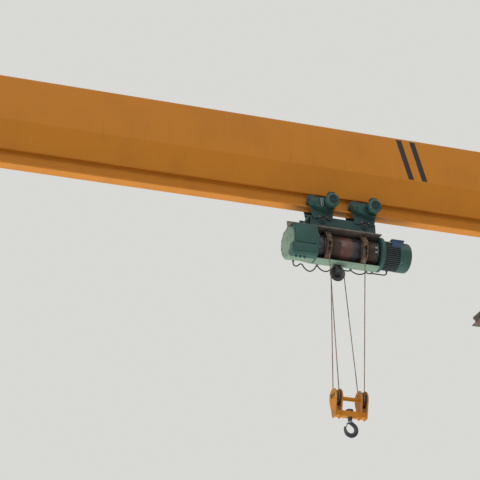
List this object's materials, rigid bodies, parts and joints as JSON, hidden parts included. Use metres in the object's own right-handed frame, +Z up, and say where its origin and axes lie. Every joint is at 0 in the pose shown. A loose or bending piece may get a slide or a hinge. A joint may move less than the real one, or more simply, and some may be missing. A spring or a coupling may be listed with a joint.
{
  "type": "single-girder overhead bridge crane",
  "caption": "Single-girder overhead travelling crane: box girder on end trucks, underslung motorised trolley, electric wire-rope hoist, hook block and runway rails.",
  "frame": {"origin": "middle of the left runway rail, on the underside of its foot", "axes": "+X along the girder to the right rail, +Y along the rails away from the viewer, +Z up"},
  "size_m": [18.312, 6, 3.6607],
  "materials": {
    "crane_orange": "semi-gloss",
    "rail_steel": "rolled",
    "wheel_steel": "turned",
    "hoist_green": "gloss",
    "hoist_dark": "gloss",
    "motor_blue": "gloss",
    "dark_steel": "oily",
    "guide_brown": "worn",
    "stop_red": "semi-gloss",
    "buffer_rubber": "matte",
    "rope_steel": "greased",
    "cable_black": "matte"
  },
  "bodies": {
    "runway": {"left_rail": "rail_steel", "right_rail": "rail_steel"},
    "bridge": {"girder_box": "crane_orange", "girder_beam": "crane_orange", "girder_end_plates": "crane_orange", "trolley_stops": "stop_red", "left_truck": "crane_orange", "right_truck": "crane_orange", "truck_axles": "wheel_steel", "axle_caps": "crane_orange", "buffers": "buffer_rubber", "drive_gearboxes": "hoist_green", "drive_motors": "motor_blue"},
    "left_front_wheel": {"left_front_wheel": "wheel_steel"},
    "left_rear_wheel": {"left_rear_wheel": "wheel_steel"},
    "right_front_wheel": {"right_front_wheel": "wheel_steel"},
    "right_rear_wheel": {"right_rear_wheel": "wheel_steel"},
    "trolley": {"trolley_side_plates": "hoist_dark", "roller_axles": "dark_steel", "travel_gearboxes": "hoist_green", "travel_motors": "hoist_green", "balance_beam": "hoist_dark", "balance_pins": "dark_steel", "hoist_lugs": "hoist_dark", "hoist_plate": "hoist_dark", "hoist_shell": "hoist_green", "hoist_rings": "hoist_green", "gearbox": "hoist_green", "switch_box": "hoist_green", "rope_guides": "guide_brown", "hoist_motor": "hoist_dark", "motor_cowl": "hoist_green", "terminal_box": "motor_blue", "hoist_cable": "cable_black", "cable_clips": "hoist_green", "sheave_bracket": "dark_steel", "equalising_sheave": "dark_steel", "hoist_ropes": "rope_steel", "inner_ropes": "rope_steel", "sheave_rope": "rope_steel"},
    "rollers_1": {"rollers_1": "dark_steel"},
    "rollers_2": {"rollers_2": "dark_steel"},
    "rollers_3": {"rollers_3": "dark_steel"},
    "rollers_4": {"rollers_4": "dark_steel"},
    "drum": {"drum": "dark_steel"},
    "hook_block": {"block_frame": "crane_orange", "block_sheaves": "dark_steel", "block_ropes": "rope_steel"},
    "hook": {"hook": "dark_steel", "hook_latch": "wheel_steel"}
  },
  "joints": [
    {"name": "bridge_travel", "type": "slide", "parent": "runway", "child": "bridge", "axis": [0, 1, 0], "range_m": [-1.35, 1.35]},
    {"name": "left_front_roll", "type": "hinge", "parent": "bridge", "child": "left_front_wheel", "pos_m": [0, -1.25, 0.2693], "axis": [1, 0, 0], "continuous": true},
    {"name": "left_rear_roll", "type": "hinge", "parent": "bridge", "child": "left_rear_wheel", "pos_m": [0, 1.25, 0.2693], "axis": [1, 0, 0], "continuous": true},
    {"name": "right_front_roll", "type": "hinge", "parent": "bridge", "child": "right_front_wheel", "pos_m": [18, -1.25, 0.2693], "axis": [1, 0, 0], "continuous": true},
    {"name": "right_rear_roll", "type": "hinge", "parent": "bridge", "child": "right_rear_wheel", "pos_m": [18, 1.25, 0.2693], "axis": [1, 0, 0], "continuous": true},
    {"name": "trolley_travel", "type": "slide", "parent": "bridge", "child": "trolley", "axis": [1, 0, 0], "range_m": [-13.7, 2.05]},
    {"name": "rollers_1_roll", "type": "hinge", "parent": "trolley", "child": "rollers_1", "pos_m": [14.4695, 0, -0.2077], "axis": [0, 1, 0], "continuous": true},
    {"name": "rollers_2_roll", "type": "hinge", "parent": "trolley", "child": "rollers_2", "pos_m": [14.6795, 0, -0.2077], "axis": [0, 1, 0], "continuous": true},
    {"name": "rollers_3_roll", "type": "hinge", "parent": "trolley", "child": "rollers_3", "pos_m": [14.9725, 0, -0.2077], "axis": [0, 1, 0], "continuous": true},
    {"name": "rollers_4_roll", "type": "hinge", "parent": "trolley", "child": "rollers_4", "pos_m": [15.1825, 0, -0.2077], "axis": [0, 1, 0], "continuous": true},
    {"name": "hook_lift", "type": "slide", "parent": "trolley", "child": "hook_block", "axis": [0, 0, 1], "range_m": [-5.05, 0.95], "deforming": ["hoist_ropes", "inner_ropes"]},
    {"name": "drum_turn", "type": "hinge", "parent": "trolley", "child": "drum", "pos_m": [14.8, 0, -0.726], "axis": [1, 0, 0], "continuous": true},
    {"name": "hook_swivel", "type": "hinge", "parent": "hook_block", "child": "hook", "pos_m": [14.7988, -0.0614, -2.632], "axis": [0, 0, 1], "continuous": true}
  ],
  "couplings": [
    {"joint": "left_front_roll", "follows": "bridge_travel", "rad_per_m": -7.4074},
    {"joint": "left_rear_roll", "follows": "bridge_travel", "rad_per_m": -7.4074},
    {"joint": "right_front_roll", "follows": "bridge_travel", "rad_per_m": -7.4074},
    {"joint": "right_rear_roll", "follows": "bridge_travel", "rad_per_m": -7.4074},
    {"joint": "rollers_1_roll", "follows": "trolley_travel", "rad_per_m": 16.667},
    {"joint": "rollers_2_roll", "follows": "trolley_travel", "rad_per_m": 16.667},
    {"joint": "rollers_3_roll", "follows": "trolley_travel", "rad_per_m": 16.667},
    {"joint": "rollers_4_roll", "follows": "trolley_travel", "rad_per_m": 16.667},
    {"joint": "drum_turn", "follows": "hook_lift", "rad_per_m": -14.006}
  ]
}
